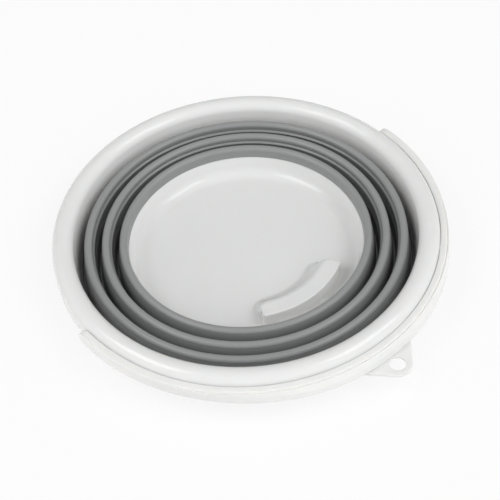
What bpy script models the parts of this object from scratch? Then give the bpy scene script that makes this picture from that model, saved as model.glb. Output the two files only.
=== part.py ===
"""Collapsible bucket, folded flat: a rigid dish and rim joined by a soft wall of nested rings, with a handle.

Metres, +Z up. The origin is at the centre of the underside, on the surface that the bucket stands on.
The handle's pins lie along X, and its middle, the hanging lug and the grip block point towards -Y.
"""

import math

import bmesh
import bpy
from mathutils import Matrix, Vector

# Fits and facets
FIT_GAP = 0.0003
CUT_OVERRUN = 0.004
MERGE_DISTANCE = 0.00001
TURN_STEPS = 48
CORNER_STEPS = 1
BEAD_STEPS = 5
LIP_STEPS = 4
UNDER_LIP_STEPS = 3
CROWN_STEPS = 4
DISH_STEPS = 5
EDGE_ROUNDING = 0.0006
CORNER_SIDE_SHARE = 1 / 3
SHARP_ANGLE = math.radians(35)

# Rim: an inverted channel with a short outer skirt and a long inner one
RIM_RADIUS = 0.165
RIM_WIDTH = 0.0215
RIM_WALL = 0.0022
RIM_ABOVE_CREST = 0.015
RIM_CROWN_RADIUS = 0.009
RIM_CROWN_FLAT = 0.0003
OUTER_SKIRT_DEPTH = 0.020
SKIRT_ABOVE_VALLEY = 0.002
SKIRT_TAPER = 0.0032

# Soft wall: nested rings with a bead on top, joined by fold webs from each crest to the next valley
BEAD_RADIUS = 0.0035
BEAD_LIFTS = (0.0004, 0.0010, 0.0020)
RING_PITCH = 0.015
FOLD_HEIGHT = 0.024
VALLEY_HEIGHT = 0.003
WEB_WALL = 0.0012
WEB_FLARE = 0.0033
WEB_BOW = 0.0004
WEB_CLEARANCE = 0.0015
WEB_HEIGHT_SHARES = (0.0, 0.5, 1.0)
FOOT_WALL = 0.0012
VALLEY_GAP = 0.0016
THIN_WALL = 0.0014
THICK_WALL = 0.0034
LIP_REACH = 0.0022
LIP_UNDERCUT = 0.0011
LIP_THICKNESS = 0.0008
LIP_HEIGHT = 0.011
CREASE_DEPTH = 0.0003
CREASE_HEIGHT = 0.0008
SKIRT_GAP = 0.002
LAP_WALL = 0.0018
LAP_SHARE = 0.85
JOINT_INSET = 0.0005

# Collar: the soft wall's last fold, bonded round the foot of the rim's inner skirt
COLLAR_WALL = 0.0018
COLLAR_HEIGHT = 0.012
COLLAR_STEP = 0.0008

# Base dish
FOOT_HEIGHT = 0.003
FOOT_WIDTH = 0.0028
FOOT_SETBACK = 0.0008
FLOOR_WALL = 0.0022
FLOOR_CROWN = 0.0008
FLOOR_CROWN_SHARES = (0.4, 0.7, 1.0)
CENTRE_PAD_RADIUS = 0.008
DISH_FILLET = 0.012
DISH_STRAIGHT = 0.0079
DISH_SLOPE = math.radians(70)

# Grip block: a hollow moulded up from the floor, open underneath for the fingers
BLOCK_HALF_ANGLE = math.radians(31)
BLOCK_HEIGHT = 0.0142
BLOCK_DEPTH = 0.0184
BLOCK_SETBACK = 0.0023
BLOCK_SLOPE = 0.004
BLOCK_CORNER = 0.003
BLOCK_TOP_EDGE = 0.0009
BLOCK_TOP_FALL = 0.0006
BLOCK_ARC_STEPS = 8
BLOCK_BEND_ANGLES = (math.radians(30), math.radians(60))
BLOCK_HEIGHT_SHARES = (0.0, 0.12, 0.35, 0.94)
BLOCK_SLOPE_SHARES = (1.0, 0.5, 0.2, 0.0)

# Hanging lug under the middle of the handle
LUG_REACH = 0.0295
LUG_TIP_RADIUS = 0.0128
LUG_SIDE_ANGLE = math.radians(42)
LUG_THICKNESS = 0.003
LUG_OVERLAP = 0.001
LUG_HOLE_RADIUS = 0.00675
LUG_HOLE_SETBACK = 0.0117
LUG_TIP_STEPS = 10

# Handle: a half ring round the rim, with a flared grip in the middle and a pin inside each end
HANDLE_GAP = 0.0013
HANDLE_TOP_WIDTH = 0.0048
HANDLE_FLARE = 0.0050
HANDLE_WALL = 0.0020
HANDLE_CHANNEL_DEPTH = 0.0060
HANDLE_CHANNEL_DRAFT = 0.0002
HANDLE_GROOVE = 0.0005
HANDLE_REST_GAP = 0.0004
HANDLE_TOP_DROP = 0.0085
HANDLE_END_HALF_HEIGHT = 0.006
HANDLE_END_REACH = 0.0082
HANDLE_EDGE = 0.0008
FLARE_START = math.radians(60)
FLARE_END = math.radians(12)
SINK_START = math.radians(84)
SINK_END = math.radians(52)
CHANNEL_START = math.radians(78)
CHANNEL_END = math.radians(66)
HANDLE_STATIONS = 40
HANDLE_CAP_STEPS = 4
HANDLE_CAP_TURN = math.radians(84)
PIVOT_BELOW_RIM = 0.0115
PIN_RADIUS = 0.0035
PIN_CLEARANCE = 0.0004
PIN_STEPS = 20
SNAP_RADIUS = 0.0045
SNAP_THICKNESS = 0.0018
SNAP_CLEARANCE = 0.0006

# Places worked out from the sizes above
FLOOR_TOP = FOOT_HEIGHT + FLOOR_WALL
CREST_HEIGHT = VALLEY_HEIGHT + FOLD_HEIGHT
RIM_TOP = CREST_HEIGHT + RIM_ABOVE_CREST
SKIRT_RADIUS = RIM_RADIUS - RIM_WIDTH
SKIRT_BOTTOM = VALLEY_HEIGHT + SKIRT_ABOVE_VALLEY
OUTER_SKIRT_BOTTOM = RIM_TOP - OUTER_SKIRT_DEPTH
RIM_LIP_RADIUS = RIM_WIDTH - SKIRT_TAPER - RIM_CROWN_FLAT - RIM_CROWN_RADIUS
LIP_CENTRE = (SKIRT_RADIUS + SKIRT_TAPER + RIM_LIP_RADIUS, RIM_TOP - RIM_LIP_RADIUS)
CROWN_CENTRE = (RIM_RADIUS - RIM_CROWN_RADIUS, RIM_TOP - RIM_CROWN_RADIUS)
WEB_FOOT_REACH = BEAD_RADIUS + WEB_FLARE
RING_3_RADIUS = SKIRT_RADIUS - SKIRT_GAP - WEB_FOOT_REACH
RING_2_RADIUS = RING_3_RADIUS - RING_PITCH
RING_1_RADIUS = RING_2_RADIUS - RING_PITCH
JOINT_RADIUS = RING_1_RADIUS - BEAD_RADIUS - JOINT_INSET
FLOOR_RADIUS = JOINT_RADIUS - DISH_FILLET * math.sin(DISH_SLOPE) - DISH_STRAIGHT * math.cos(DISH_SLOPE)
DISH_STRAIGHT_RISE = DISH_STRAIGHT * math.sin(DISH_SLOPE)
JOINT_HEIGHT = FLOOR_TOP + DISH_FILLET * (1 - math.cos(DISH_SLOPE)) + DISH_STRAIGHT_RISE
DISH_WALL_ACROSS = FLOOR_WALL / math.sin(DISH_SLOPE)
LUG_TOP = OUTER_SKIRT_BOTTOM + LUG_OVERLAP
PIVOT_HEIGHT = RIM_TOP - PIVOT_BELOW_RIM
HANDLE_RADIUS = RIM_RADIUS + HANDLE_GAP
HANDLE_LOW = LUG_TOP + HANDLE_REST_GAP
HANDLE_HIGH = RIM_TOP - HANDLE_TOP_DROP

WHITE = (0.80, 0.80, 0.775)
WHITE_ROUGHNESS = 0.32
GREY = (0.245, 0.250, 0.250)
GREY_ROUGHNESS = 0.45


def clear_scene():
    for obj in list(bpy.data.objects):
        bpy.data.objects.remove(obj, do_unlink=True)


def new_collection(name):
    collection = bpy.data.collections.new(name)
    bpy.context.scene.collection.children.link(collection)
    return collection


def new_material(name, colour, roughness):
    material = bpy.data.materials.new(name)
    material.use_nodes = True
    shader = material.node_tree.nodes["Principled BSDF"]
    shader.inputs["Base Color"].default_value = (*colour, 1)
    shader.inputs["Roughness"].default_value = roughness
    shader.inputs["Metallic"].default_value = 0
    material.diffuse_color = (*colour, 1)
    return material


def add_object(name, mesh, collection, material=None):
    obj = bpy.data.objects.new(name, mesh)
    collection.objects.link(obj)
    if material:
        mesh.materials.append(material)
    return obj


def arc(centre, radius, start, end, steps):
    """Points on a circle round centre, from angle start to angle end in degrees."""
    angles = (math.radians(start + (end - start) * i / steps) for i in range(steps + 1))
    return [(centre[0] + radius * math.cos(a), centre[1] + radius * math.sin(a)) for a in angles]


def rounded(before, corner, after, radius, steps=CORNER_STEPS):
    """The arc that replaces a corner, cut back so that it leaves most of either side straight."""
    corner = Vector(corner)
    back = Vector(before) - corner
    ahead = Vector(after) - corner
    half = back.angle(ahead) / 2
    longest = CORNER_SIDE_SHARE * min(back.length, ahead.length)
    cut = min(radius / math.tan(half), longest)
    first = corner + back.normalized() * cut
    last = corner + ahead.normalized() * cut
    points = []
    for i in range(steps + 1):
        t = i / steps
        points.append(first * (1 - t) ** 2 + corner * 2 * t * (1 - t) + last * t**2)
    return [tuple(point) for point in points]


def rounded_outline(corners):
    """A closed outline from (r, z) corners, or (r, z, radius) where a corner is rounded."""
    outline = []
    for i, corner in enumerate(corners):
        if len(corner) == 2:
            outline.append(corner)
            continue
        before = corners[i - 1][:2]
        after = corners[(i + 1) % len(corners)][:2]
        outline += rounded(before, corner[:2], after, corner[2])
    return outline


def turned(name, outline, collection, material=None, closed=True):
    """A profile of (r, z) points turned once round Z. An open one starts and ends on the axis."""
    mesh = bpy.data.meshes.new(name)
    edges = [(i, i + 1) for i in range(len(outline) - 1)]
    if closed:
        edges.append((len(outline) - 1, 0))
    mesh.from_pydata([(r, 0, z) for r, z in outline], edges, [])
    obj = add_object(name, mesh, collection, material)
    screw = obj.modifiers.new("Turn", "SCREW")
    screw.steps = TURN_STEPS
    screw.render_steps = TURN_STEPS
    screw.use_merge_vertices = True
    screw.merge_threshold = MERGE_DISTANCE
    screw.use_smooth_shade = True
    return obj


def add_boolean(obj, tool, operation):
    boolean = obj.modifiers.new(tool.name, "BOOLEAN")
    boolean.object = tool
    boolean.operation = operation
    boolean.solver = "EXACT"
    return boolean


def finish_shading(obj):
    shading = obj.modifiers.new("Shading", "WEIGHTED_NORMAL")
    shading.keep_sharp = True


def hide_tool(obj):
    obj.hide_render = True
    obj.display_type = "WIRE"
    return obj


def rod(name, radius, start, end, collection):
    """A cylinder from one point to another."""
    start = Vector(start)
    along = Vector(end) - start
    mesh = bpy.data.meshes.new(name)
    bm = bmesh.new()
    bmesh.ops.create_cone(
        bm, cap_ends=True, segments=PIN_STEPS, radius1=radius, radius2=radius, depth=along.length
    )
    half_facet = Matrix.Rotation(math.pi / PIN_STEPS, 4, "Z")
    turn = Vector((0, 0, 1)).rotation_difference(along).to_matrix().to_4x4() @ half_facet
    bmesh.ops.transform(bm, matrix=Matrix.Translation(start + along / 2) @ turn, verts=bm.verts)
    bm.to_mesh(mesh)
    bm.free()
    return hide_tool(add_object(name, mesh, collection))


def close_end(bm, row):
    """Closes a loop with a ladder of faces between its two halves, so that it also fills a bent loop."""
    rungs = len(row) // 2 - 1
    for i in range(rungs - 1):
        bm.faces.new(row[i : i + 2] + row[-2 - i : len(row) - i])
    bm.faces.new(row[rungs - 1 : len(row) - rungs + 1])


def lofted(name, loops, collection, material=None):
    """A closed solid through loops of the same number of points, with a cap on the first and last."""
    mesh = bpy.data.meshes.new(name)
    bm = bmesh.new()
    rows = [[bm.verts.new(point) for point in loop] for loop in loops]
    count = len(rows[0])
    for low, high in zip(rows, rows[1:]):
        for i in range(count):
            j = (i + 1) % count
            bm.faces.new((low[i], low[j], high[j], high[i]))
    close_end(bm, rows[0])
    close_end(bm, rows[-1])
    bmesh.ops.recalc_face_normals(bm, faces=bm.faces)
    bm.to_mesh(mesh)
    bm.free()
    mesh.shade_smooth()
    mesh.set_sharp_from_angle(angle=SHARP_ANGLE)
    return add_object(name, mesh, collection, material)


def skirt_face(height):
    """Radius of the inner skirt's inside face at a height: it leans out by its taper up to the lip."""
    share = (height - SKIRT_BOTTOM) / (LIP_CENTRE[1] - SKIRT_BOTTOM)
    return SKIRT_RADIUS + SKIRT_TAPER * share


def web_face(ring_radius, height):
    """Radius of a web's outer face: it runs from the bead's outer edge out to the next valley."""
    share = (CREST_HEIGHT - height) / FOLD_HEIGHT
    bow = WEB_BOW * 4 * share * (1 - share)
    return ring_radius + BEAD_RADIUS + WEB_FLARE * share + bow


# Base dish


def dish_outline():
    crown = [(0, FLOOR_TOP + FLOOR_CROWN)]
    for share in FLOOR_CROWN_SHARES:
        crown.append((FLOOR_RADIUS * share, FLOOR_TOP + FLOOR_CROWN * (1 - share**2)))
    slope = math.degrees(DISH_SLOPE)
    centre = (FLOOR_RADIUS, FLOOR_TOP + DISH_FILLET)
    inside = arc(centre, DISH_FILLET, -90, slope - 90, DISH_STEPS)[1:]
    outside = arc(centre, DISH_FILLET + FLOOR_WALL, slope - 90, -90, DISH_STEPS)
    edge_inside = (JOINT_RADIUS, JOINT_HEIGHT)
    edge_outside = (JOINT_RADIUS + DISH_WALL_ACROSS, JOINT_HEIGHT)
    foot_outer = FLOOR_RADIUS - FOOT_SETBACK
    foot_inner = foot_outer - FOOT_WIDTH
    foot = rounded((foot_outer, FOOT_HEIGHT), (foot_outer, 0), (foot_inner, 0), EDGE_ROUNDING)
    foot += rounded((foot_outer, 0), (foot_inner, 0), (foot_inner, FOOT_HEIGHT), EDGE_ROUNDING)
    under = [(foot_inner, FOOT_HEIGHT), (CENTRE_PAD_RADIUS, FOOT_HEIGHT + FLOOR_CROWN)]
    pad = [(CENTRE_PAD_RADIUS, 0), (0, 0)]
    return crown + inside + [edge_inside, edge_outside] + outside + foot + under + pad


def block_loop(height, inner, inset):
    """Plan outline of the grip block at a height: a sector of a ring with rounded corners."""
    outer = FLOOR_RADIUS - BLOCK_SETBACK - inset
    half = BLOCK_HALF_ANGLE - inset / outer
    corner = BLOCK_CORNER - inset
    points = []
    for radius, side in ((outer, 1), (inner, -1)):
        turn = corner / radius
        shares = [2 * i / BLOCK_ARC_STEPS - 1 for i in range(BLOCK_ARC_STEPS + 1)]
        middle = [(radius, side * (half - turn) * share) for share in shares]
        bends = []
        for a in BLOCK_BEND_ANGLES:
            shift = corner * (1 - math.cos(a))
            bends.append((radius - side * shift, side * (half - turn + turn * math.sin(a))))
        points += [(r, -a) for r, a in reversed(bends)] + middle + bends
    return [(r * math.sin(a), -r * math.cos(a), height) for r, a in points]


def block_loops(inset, low):
    """Loops of the block, or of its hollow when inset by the wall, from a low height up to its top."""
    top = FLOOR_TOP + BLOCK_HEIGHT - inset
    inner = FLOOR_RADIUS - BLOCK_SETBACK - BLOCK_DEPTH + inset
    loops = [block_loop(low, inner - BLOCK_SLOPE, inset)]
    for height_share, slope_share in zip(BLOCK_HEIGHT_SHARES, BLOCK_SLOPE_SHARES):
        height = FLOOR_TOP + (top - FLOOR_TOP) * height_share
        loops.append(block_loop(height, inner - BLOCK_SLOPE * slope_share, inset))
    cap = block_loop(top, inner + BLOCK_TOP_EDGE, inset + BLOCK_TOP_EDGE)
    reach = FLOOR_RADIUS - BLOCK_SETBACK
    fall = [BLOCK_TOP_FALL * (reach - math.hypot(x, y)) / BLOCK_DEPTH for x, y, _ in cap]
    loops.append([(x, y, z - drop) for (x, y, z), drop in zip(cap, fall)])
    return loops


def make_base_dish(parts, tools, material):
    dish = turned("base_dish", dish_outline(), parts, material, closed=False)
    block = lofted("grip_block", block_loops(0, FOOT_HEIGHT + FLOOR_WALL / 2), tools)
    pocket = lofted("finger_pocket", block_loops(FLOOR_WALL, -CUT_OVERRUN), tools)
    add_boolean(dish, hide_tool(block), "UNION")
    add_boolean(dish, hide_tool(pocket), "DIFFERENCE")
    finish_shading(dish)
    return dish


# Soft wall


def bead_top(radius, lift):
    """The bead over a ring, from its inner side over the top to the seat of the web under its outer side."""
    centre = (radius, CREST_HEIGHT + lift)
    seat = radius + BEAD_RADIUS - WEB_WALL - WEB_CLEARANCE
    over = arc(centre, BEAD_RADIUS, 180, 0, BEAD_STEPS)
    return over + [(radius + BEAD_RADIUS, CREST_HEIGHT), (seat, CREST_HEIGHT)]


def ring_1_outline():
    """The first ring: bead, thick wall, and a lap bonded round the outside of the dish's edge."""
    lap_depth = DISH_STRAIGHT_RISE * LAP_SHARE
    lean = math.cos(DISH_SLOPE) / math.sin(DISH_SLOPE)
    dish_edge = JOINT_RADIUS + DISH_WALL_ACROSS + FIT_GAP
    lap_bottom = JOINT_HEIGHT - lap_depth
    lap_foot = dish_edge - lap_depth * lean
    outside = [
        (dish_edge + LAP_WALL, JOINT_HEIGHT),
        (lap_foot + LAP_WALL, lap_bottom, EDGE_ROUNDING),
        (lap_foot, lap_bottom),
    ]
    inside = [(dish_edge, JOINT_HEIGHT + FIT_GAP), (JOINT_RADIUS, JOINT_HEIGHT + FIT_GAP)]
    return rounded_outline(bead_top(RING_1_RADIUS, BEAD_LIFTS[0]) + outside + inside)


def ring_outline(radius, lift):
    """A middle ring: bead, thick wall down to a sharp lip, thin wall below it, and a foot under the web."""
    web_foot = radius - RING_PITCH + WEB_FOOT_REACH
    thin = web_foot + VALLEY_GAP
    lip = radius - BEAD_RADIUS - LIP_REACH
    lip_top = VALLEY_HEIGHT + LIP_HEIGHT
    lip_low = lip_top - LIP_THICKNESS
    undercut = lip + LIP_UNDERCUT
    undercut_low = lip_low - LIP_THICKNESS
    foot_low = VALLEY_HEIGHT - FOOT_WALL
    outside = [
        (lip + THICK_WALL, lip_top),
        (undercut + THIN_WALL, undercut_low),
        (thin + THIN_WALL, foot_low, EDGE_ROUNDING),
        (web_foot - WEB_WALL, foot_low, EDGE_ROUNDING),
        (web_foot - WEB_WALL, VALLEY_HEIGHT),
        (thin, VALLEY_HEIGHT),
    ]
    inside = [
        (undercut, undercut_low),
        (lip, lip_low),
        (lip, lip_top),
        (radius - BEAD_RADIUS, CREST_HEIGHT - CREASE_HEIGHT),
        (radius - BEAD_RADIUS + CREASE_DEPTH, CREST_HEIGHT),
    ]
    return rounded_outline(bead_top(radius, lift) + outside + inside)


def web_outline(radius):
    """A thin web from under the bead's outer side down to the next valley, bowed a little outwards."""
    high = CREST_HEIGHT - FIT_GAP
    low = VALLEY_HEIGHT + FIT_GAP
    heights = [high + (low - high) * share for share in WEB_HEIGHT_SHARES]
    outer = [(web_face(radius, height), height) for height in heights]
    inner = [(r - WEB_WALL, height) for r, height in reversed(outer)]
    return outer + inner


def collar_outline():
    """The last valley: a floor under the web, and a band up the outside of the rim's inner skirt."""
    web_foot = RING_3_RADIUS + WEB_FOOT_REACH
    skirt_out = RIM_WALL + FIT_GAP
    top = SKIRT_BOTTOM + COLLAR_HEIGHT
    low = VALLEY_HEIGHT - FOOT_WALL
    under_skirt = SKIRT_BOTTOM - FIT_GAP
    bottom_face = skirt_face(under_skirt) + skirt_out
    return rounded_outline(
        [
            (skirt_face(top) + skirt_out + COLLAR_WALL, top, EDGE_ROUNDING),
            (bottom_face + COLLAR_WALL, low, EDGE_ROUNDING),
            (web_foot - WEB_WALL, low, EDGE_ROUNDING),
            (web_foot - WEB_WALL, VALLEY_HEIGHT),
            (web_foot + COLLAR_STEP, VALLEY_HEIGHT),
            (web_foot + 2 * COLLAR_STEP, under_skirt),
            (bottom_face, under_skirt),
            (skirt_face(top) + skirt_out, top),
        ]
    )


def make_soft_wall(parts, material):
    outlines = {
        "fold_ring_1": ring_1_outline(),
        "fold_ring_2": ring_outline(RING_2_RADIUS, BEAD_LIFTS[1]),
        "fold_ring_3": ring_outline(RING_3_RADIUS, BEAD_LIFTS[2]),
        "fold_web_1": web_outline(RING_1_RADIUS),
        "fold_web_2": web_outline(RING_2_RADIUS),
        "fold_web_3": web_outline(RING_3_RADIUS),
        "rim_collar": collar_outline(),
    }
    pieces = {}
    for name, outline in outlines.items():
        pieces[name] = turned(name, outline, parts, material)
        finish_shading(pieces[name])
    return pieces


# Rim


def rim_outline():
    crown = arc(CROWN_CENTRE, RIM_CROWN_RADIUS, 90, 0, CROWN_STEPS)
    under_crown = arc(CROWN_CENTRE, RIM_CROWN_RADIUS - RIM_WALL, 0, 90, CROWN_STEPS)
    under_lip = arc(LIP_CENTRE, RIM_LIP_RADIUS - RIM_WALL, 90, 180, UNDER_LIP_STEPS)
    lip = arc(LIP_CENTRE, RIM_LIP_RADIUS, 180, 90, LIP_STEPS)
    outer_edge = rounded(
        (RIM_RADIUS, RIM_TOP), (RIM_RADIUS, OUTER_SKIRT_BOTTOM), (CROWN_CENTRE[0], OUTER_SKIRT_BOTTOM),
        EDGE_ROUNDING,
    )
    outer_skirt = outer_edge + [(RIM_RADIUS - RIM_WALL, OUTER_SKIRT_BOTTOM)]
    inner_skirt = [(SKIRT_RADIUS + RIM_WALL, SKIRT_BOTTOM), (SKIRT_RADIUS, SKIRT_BOTTOM)]
    return crown + outer_skirt + under_crown + under_lip + inner_skirt + lip


def lug_outline():
    """Plan outline of the lug: a round tip with straight sides that spread to the rim's skirt."""
    centre = RIM_RADIUS + LUG_REACH - LUG_TIP_RADIUS
    root = RIM_RADIUS - RIM_WALL / 2
    side = math.degrees(LUG_SIDE_ANGLE)
    tip = arc((0, -centre), LUG_TIP_RADIUS, side - 180, -side, LUG_TIP_STEPS)
    along = Vector((math.sin(LUG_SIDE_ANGLE), math.cos(LUG_SIDE_ANGLE)))
    start = Vector(tip[-1])
    middle = start.dot(along)
    run = -middle - math.sqrt(middle**2 - start.length_squared + root**2)
    end = start + along * run
    reach = math.degrees(math.atan2(end.x, -end.y))
    back = arc((0, 0), root, reach - 90, -reach - 90, LUG_TIP_STEPS)
    return tip + back


def make_plate(name, outline, low, thickness, collection):
    """A flat outline as a filled curve, made a mesh so that it can be joined to another piece."""
    curve = bpy.data.curves.new(name, "CURVE")
    curve.dimensions = "2D"
    curve.fill_mode = "BOTH"
    curve.extrude = thickness / 2
    spline = curve.splines.new("POLY")
    spline.points.add(len(outline) - 1)
    for point, (x, y) in zip(spline.points, outline):
        point.co = (x, y, 0, 1)
    spline.use_cyclic_u = True
    guide = add_object(name + "_outline", curve, collection)
    guide.location.z = low + thickness / 2
    bpy.context.view_layer.update()
    graph = bpy.context.evaluated_depsgraph_get()
    mesh = bpy.data.meshes.new_from_object(guide.evaluated_get(graph))
    bm = bmesh.new()
    bm.from_mesh(mesh)
    bmesh.ops.remove_doubles(bm, verts=bm.verts, dist=MERGE_DISTANCE)
    bmesh.ops.recalc_face_normals(bm, faces=bm.faces)
    bm.to_mesh(mesh)
    bm.free()
    plate = hide_tool(add_object(name, mesh, collection))
    plate.matrix_world = guide.matrix_world
    bpy.data.objects.remove(guide)
    return plate


def make_rim(parts, tools, material):
    rim = turned("rim", rim_outline(), parts, material)
    lug = make_plate("hanging_lug", lug_outline(), LUG_TOP - LUG_THICKNESS, LUG_THICKNESS, tools)
    add_boolean(rim, lug, "UNION")
    hole_y = LUG_HOLE_SETBACK - RIM_RADIUS - LUG_REACH
    hole_low = LUG_TOP - LUG_THICKNESS - CUT_OVERRUN
    hole = rod("lug_hole", LUG_HOLE_RADIUS, (0, hole_y, hole_low), (0, hole_y, RIM_TOP), tools)
    add_boolean(rim, hole, "DIFFERENCE")
    near = RIM_RADIUS - RIM_WALL - CUT_OVERRUN
    far = RIM_RADIUS + CUT_OVERRUN
    for side, word in ((-1, "left"), (1, "right")):
        start = (side * near, 0, PIVOT_HEIGHT)
        end = (side * far, 0, PIVOT_HEIGHT)
        hole = rod("pin_hole_" + word, PIN_RADIUS + PIN_CLEARANCE, start, end, tools)
        add_boolean(rim, hole, "DIFFERENCE")
    finish_shading(rim)
    return rim


# Handle


def eased(angle, start, end):
    """0 beyond the start angle from the middle, 1 inside the end angle, smooth between."""
    t = min(max((start - abs(angle)) / (start - end), 0), 1)
    return t * t * (3 - 2 * t)


def handle_section(angle, squeeze):
    """Outline of the handle across its length, as (r, z): a band whose outer side flares into a grip."""
    flare = eased(angle, FLARE_START, FLARE_END)
    sink = eased(angle, SINK_START, SINK_END)
    channel = HANDLE_CHANNEL_DEPTH * eased(angle, CHANNEL_START, CHANNEL_END)
    low = (PIVOT_HEIGHT - HANDLE_END_HALF_HEIGHT) * (1 - sink) + HANDLE_LOW * sink
    high = (PIVOT_HEIGHT + HANDLE_END_HALF_HEIGHT) * (1 - sink) + HANDLE_HIGH * sink
    inner = HANDLE_RADIUS
    shoulder = inner + HANDLE_TOP_WIDTH
    outer = shoulder + HANDLE_FLARE * flare
    groove = HANDLE_GROOVE * flare
    wall = HANDLE_WALL
    points = [
        (inner, low),
        (inner, high - HANDLE_EDGE),
        (inner + HANDLE_EDGE, high),
        (shoulder - HANDLE_EDGE, high),
        (shoulder - groove, high - HANDLE_EDGE),
        (shoulder + groove, high - 2 * HANDLE_EDGE),
        ((shoulder + outer) / 2 + groove, (high + low) / 2),
        (outer, low + 2 * HANDLE_EDGE),
        (outer - HANDLE_EDGE / 2, low),
        (outer - wall, low),
        (outer - wall - HANDLE_CHANNEL_DRAFT - (outer - shoulder) / 2, low + channel),
        (inner + wall + HANDLE_CHANNEL_DRAFT, low + channel),
        (inner + wall, low),
    ]
    return [(r, PIVOT_HEIGHT + (z - PIVOT_HEIGHT) * squeeze) for r, z in points]


def make_handle(parts, tools, material, pivot):
    """The band is lofted round the rim, closed by a round end just past each pin."""
    end = math.pi / 2
    reach = HANDLE_END_REACH / HANDLE_RADIUS
    stations = [(end * (2 * i / HANDLE_STATIONS - 1), 1) for i in range(HANDLE_STATIONS + 1)]
    for i in range(1, HANDLE_CAP_STEPS + 1):
        turn = HANDLE_CAP_TURN * i / HANDLE_CAP_STEPS
        stations.insert(0, (-end - reach * math.sin(turn), math.cos(turn)))
        stations.append((end + reach * math.sin(turn), math.cos(turn)))
    loops = []
    for angle, squeeze in stations:
        section = handle_section(angle, squeeze)
        loops.append(
            [(r * math.sin(angle), -r * math.cos(angle), z - PIVOT_HEIGHT) for r, z in section]
        )
    handle = lofted("handle", loops, parts, material)
    handle.parent = pivot
    root = HANDLE_RADIUS + HANDLE_TOP_WIDTH / 2
    head_outer = RIM_RADIUS - RIM_WALL - SNAP_CLEARANCE
    head_inner = head_outer - SNAP_THICKNESS
    pin_end = head_outer - SNAP_THICKNESS / 2
    for side, word in ((-1, "left"), (1, "right")):
        ends = [(side * r, 0, PIVOT_HEIGHT) for r in (root, pin_end, head_outer, head_inner)]
        pin = rod("pin_" + word, PIN_RADIUS, ends[0], ends[1], tools)
        head = rod("snap_head_" + word, SNAP_RADIUS, ends[2], ends[3], tools)
        add_boolean(handle, pin, "UNION")
        add_boolean(handle, head, "UNION")
    finish_shading(handle)
    return handle


def add_pivot(name, height, collection, parent=None):
    """An empty on a joint's axis, which carries the pieces that move with that joint."""
    pivot = bpy.data.objects.new(name, None)
    collection.objects.link(pivot)
    pivot.location.z = height
    pivot.empty_display_size = RIM_RADIUS
    pivot.parent = parent
    return pivot


def main():
    clear_scene()
    parts = new_collection("collapsible_bucket")
    tools = new_collection("cutters")
    white = new_material("white_polypropylene", WHITE, WHITE_ROUGHNESS)
    grey = new_material("grey_elastomer", GREY, GREY_ROUGHNESS)
    make_base_dish(parts, tools, white)
    soft = make_soft_wall(parts, grey)
    rim = make_rim(parts, tools, white)
    lifts = [None]
    for number in (1, 2, 3):
        lifts.append(add_pivot(f"fold_{number}_lift", 0, parts, lifts[-1]))
    for name, level in (("fold_ring_2", 1), ("fold_web_2", 1), ("fold_ring_3", 2), ("fold_web_3", 2)):
        soft[name].parent = lifts[level]
    soft["rim_collar"].parent = lifts[3]
    rim.parent = lifts[3]
    make_handle(parts, tools, white, add_pivot("handle_pivot", PIVOT_HEIGHT, parts, lifts[3]))


main()
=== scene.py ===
# %% [markdown]
# A collapsible bucket, folded flat. A white dish and a white rim are joined by a soft grey wall, whose
# three rings lie inside each other like ripples. A white half-ring handle lies round the rim.
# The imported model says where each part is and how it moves. Here every part is made once more, as a
# fine surface with its real finish, and it stands for the plain solid of the same part.

# %% Load the frame
import math

import bmesh
import bpy
import numpy as np
from mathutils import Matrix, Vector


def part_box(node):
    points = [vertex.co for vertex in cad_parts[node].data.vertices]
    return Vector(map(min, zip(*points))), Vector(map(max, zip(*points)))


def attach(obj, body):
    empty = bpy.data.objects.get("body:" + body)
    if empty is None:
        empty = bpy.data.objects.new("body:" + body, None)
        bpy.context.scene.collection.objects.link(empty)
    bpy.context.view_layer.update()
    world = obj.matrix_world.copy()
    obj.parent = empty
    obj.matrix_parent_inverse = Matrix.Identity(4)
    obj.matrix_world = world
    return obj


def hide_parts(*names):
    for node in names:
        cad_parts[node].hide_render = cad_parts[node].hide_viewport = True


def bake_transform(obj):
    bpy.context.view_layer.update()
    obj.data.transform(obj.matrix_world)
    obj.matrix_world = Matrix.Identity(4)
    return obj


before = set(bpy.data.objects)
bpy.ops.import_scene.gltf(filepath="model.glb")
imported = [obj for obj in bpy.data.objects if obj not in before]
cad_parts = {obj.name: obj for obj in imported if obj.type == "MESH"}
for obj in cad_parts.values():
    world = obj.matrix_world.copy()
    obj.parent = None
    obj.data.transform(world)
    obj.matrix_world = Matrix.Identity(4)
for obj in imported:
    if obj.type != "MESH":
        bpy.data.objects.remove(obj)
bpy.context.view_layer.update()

# %% [markdown]
# Every shape below is a surface over a grid. Point [i, j] of the grid is the surface at two parameters,
# such as a place along an outline and an angle round the axis. The round parts could also be made with
# Blender's Screw modifier, but a grid lets an outline change on its way, as the handle's does.
# numpy works out all the points at once, and one helper puts them into a mesh: four neighbouring points
# make a face, and a grid that closes on itself is joined along its edge. Points that fall together, as
# at a pole, are then merged.

# %% From a grid of points to a piece
MERGE_DISTANCE = 0.000002
SHARP_ANGLE = math.radians(50)


def grid_faces(rows, columns, closed_rows, closed_columns):
    """Corners of the face [i, j]: the points [i, j], [i+1, j], [i+1, j+1] and [i, j+1]."""
    index = np.arange(rows * columns).reshape(rows, columns)
    if closed_rows:
        index = np.vstack([index, index[:1]])
    if closed_columns:
        index = np.hstack([index, index[:, :1]])
    corners = [index[:-1, :-1], index[1:, :-1], index[1:, 1:], index[:-1, 1:]]
    return np.stack(corners, axis=-1).reshape(-1, 4)


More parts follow.
